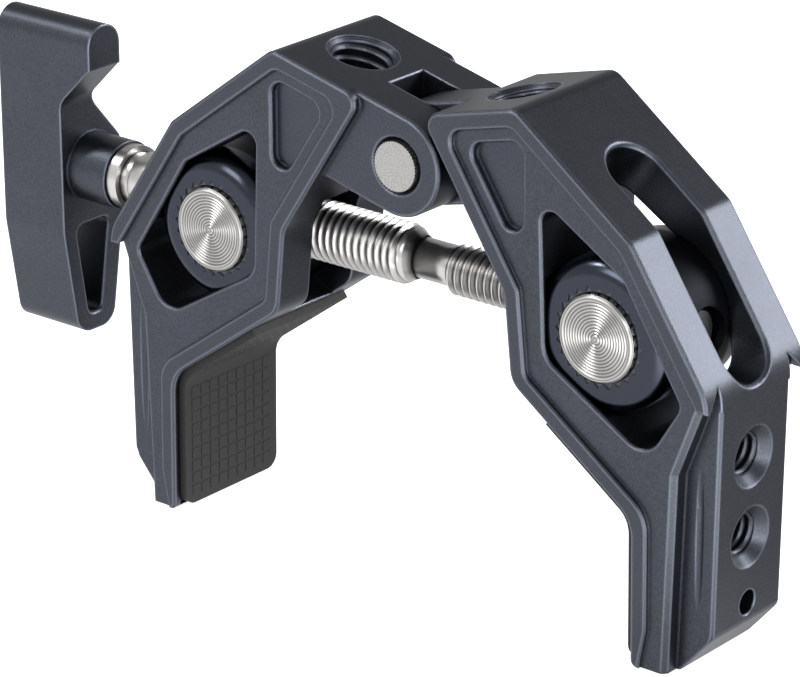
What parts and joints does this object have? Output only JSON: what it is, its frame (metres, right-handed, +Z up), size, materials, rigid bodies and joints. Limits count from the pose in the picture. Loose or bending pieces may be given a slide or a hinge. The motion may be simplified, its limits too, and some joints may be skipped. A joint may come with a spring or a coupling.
{
  "type": "crab clamp",
  "caption": "Hinged two-jaw screw clamp with rubber pads, swivelling trunnions, a lever handle and threaded accessory holes.",
  "frame": {"origin": "midway between the feet of the jaws, on the surface that both feet stand on, in the middle plane of the clamp; the hinge pin is straight above it", "axes": "+Z up from the feet to the hinge, +X along the screw from the handle to the far jaw, +Y along the hinge pin away from the viewer"},
  "size_m": [0.1281, 0.022, 0.0719],
  "materials": {
    "jaw": "bead-blasted aluminium, anodised dark blue-grey",
    "drum": "turned aluminium, anodised satin black",
    "lever": "bead-blasted aluminium, anodised dark blue-grey",
    "steel": "turned stainless steel",
    "screw": "rolled stainless steel thread",
    "pad": "moulded rubber with a grid of small squares"
  },
  "bodies": {
    "left_jaw": {"left_jaw": "jaw", "left_pad": "pad", "hinge_pin": "steel"},
    "right_jaw": {"right_jaw": "jaw", "right_pad": "pad"},
    "left_trunnion": {"left_trunnion": "drum", "left_cross_nut": "steel"},
    "right_trunnion": {"right_trunnion": "drum", "right_cross_nut": "steel"},
    "washer": {"thrust_washer": "steel"},
    "screw": {"screw": "screw", "handle": "lever"}
  },
  "joints": [
    {"name": "jaw_swing", "type": "hinge", "parent": "left_jaw", "child": "right_jaw", "pos_m": [0, 0, 0.0598], "axis": [0, 1, 0], "range_deg": [0, 60]},
    {"name": "left_trunnion_turn", "type": "hinge", "parent": "left_jaw", "child": "left_trunnion", "pos_m": [-0.033, 0, 0.0436], "axis": [0, 1, 0], "range_deg": [0, 30]},
    {"name": "right_trunnion_turn", "type": "hinge", "parent": "right_jaw", "child": "right_trunnion", "pos_m": [0.033, 0, 0.0436], "axis": [0, 1, 0], "range_deg": [-30, 0]},
    {"name": "screw_travel", "type": "slide", "parent": "left_trunnion", "child": "washer", "axis": [1, 0, 0], "range_m": [-0.0125, 0]},
    {"name": "handle_spin", "type": "hinge", "parent": "washer", "child": "screw", "pos_m": [0, 0, 0.0436], "axis": [1, 0, 0], "range_deg": [0, 3600]}
  ],
  "couplings": [
    {"joint": "jaw_swing", "follows": "screw_travel", "rad_per_m": -83.776},
    {"joint": "left_trunnion_turn", "follows": "screw_travel", "rad_per_m": -41.888},
    {"joint": "right_trunnion_turn", "follows": "screw_travel", "rad_per_m": 41.888},
    {"joint": "handle_spin", "follows": "screw_travel", "rad_per_m": -5026.5}
  ]
}
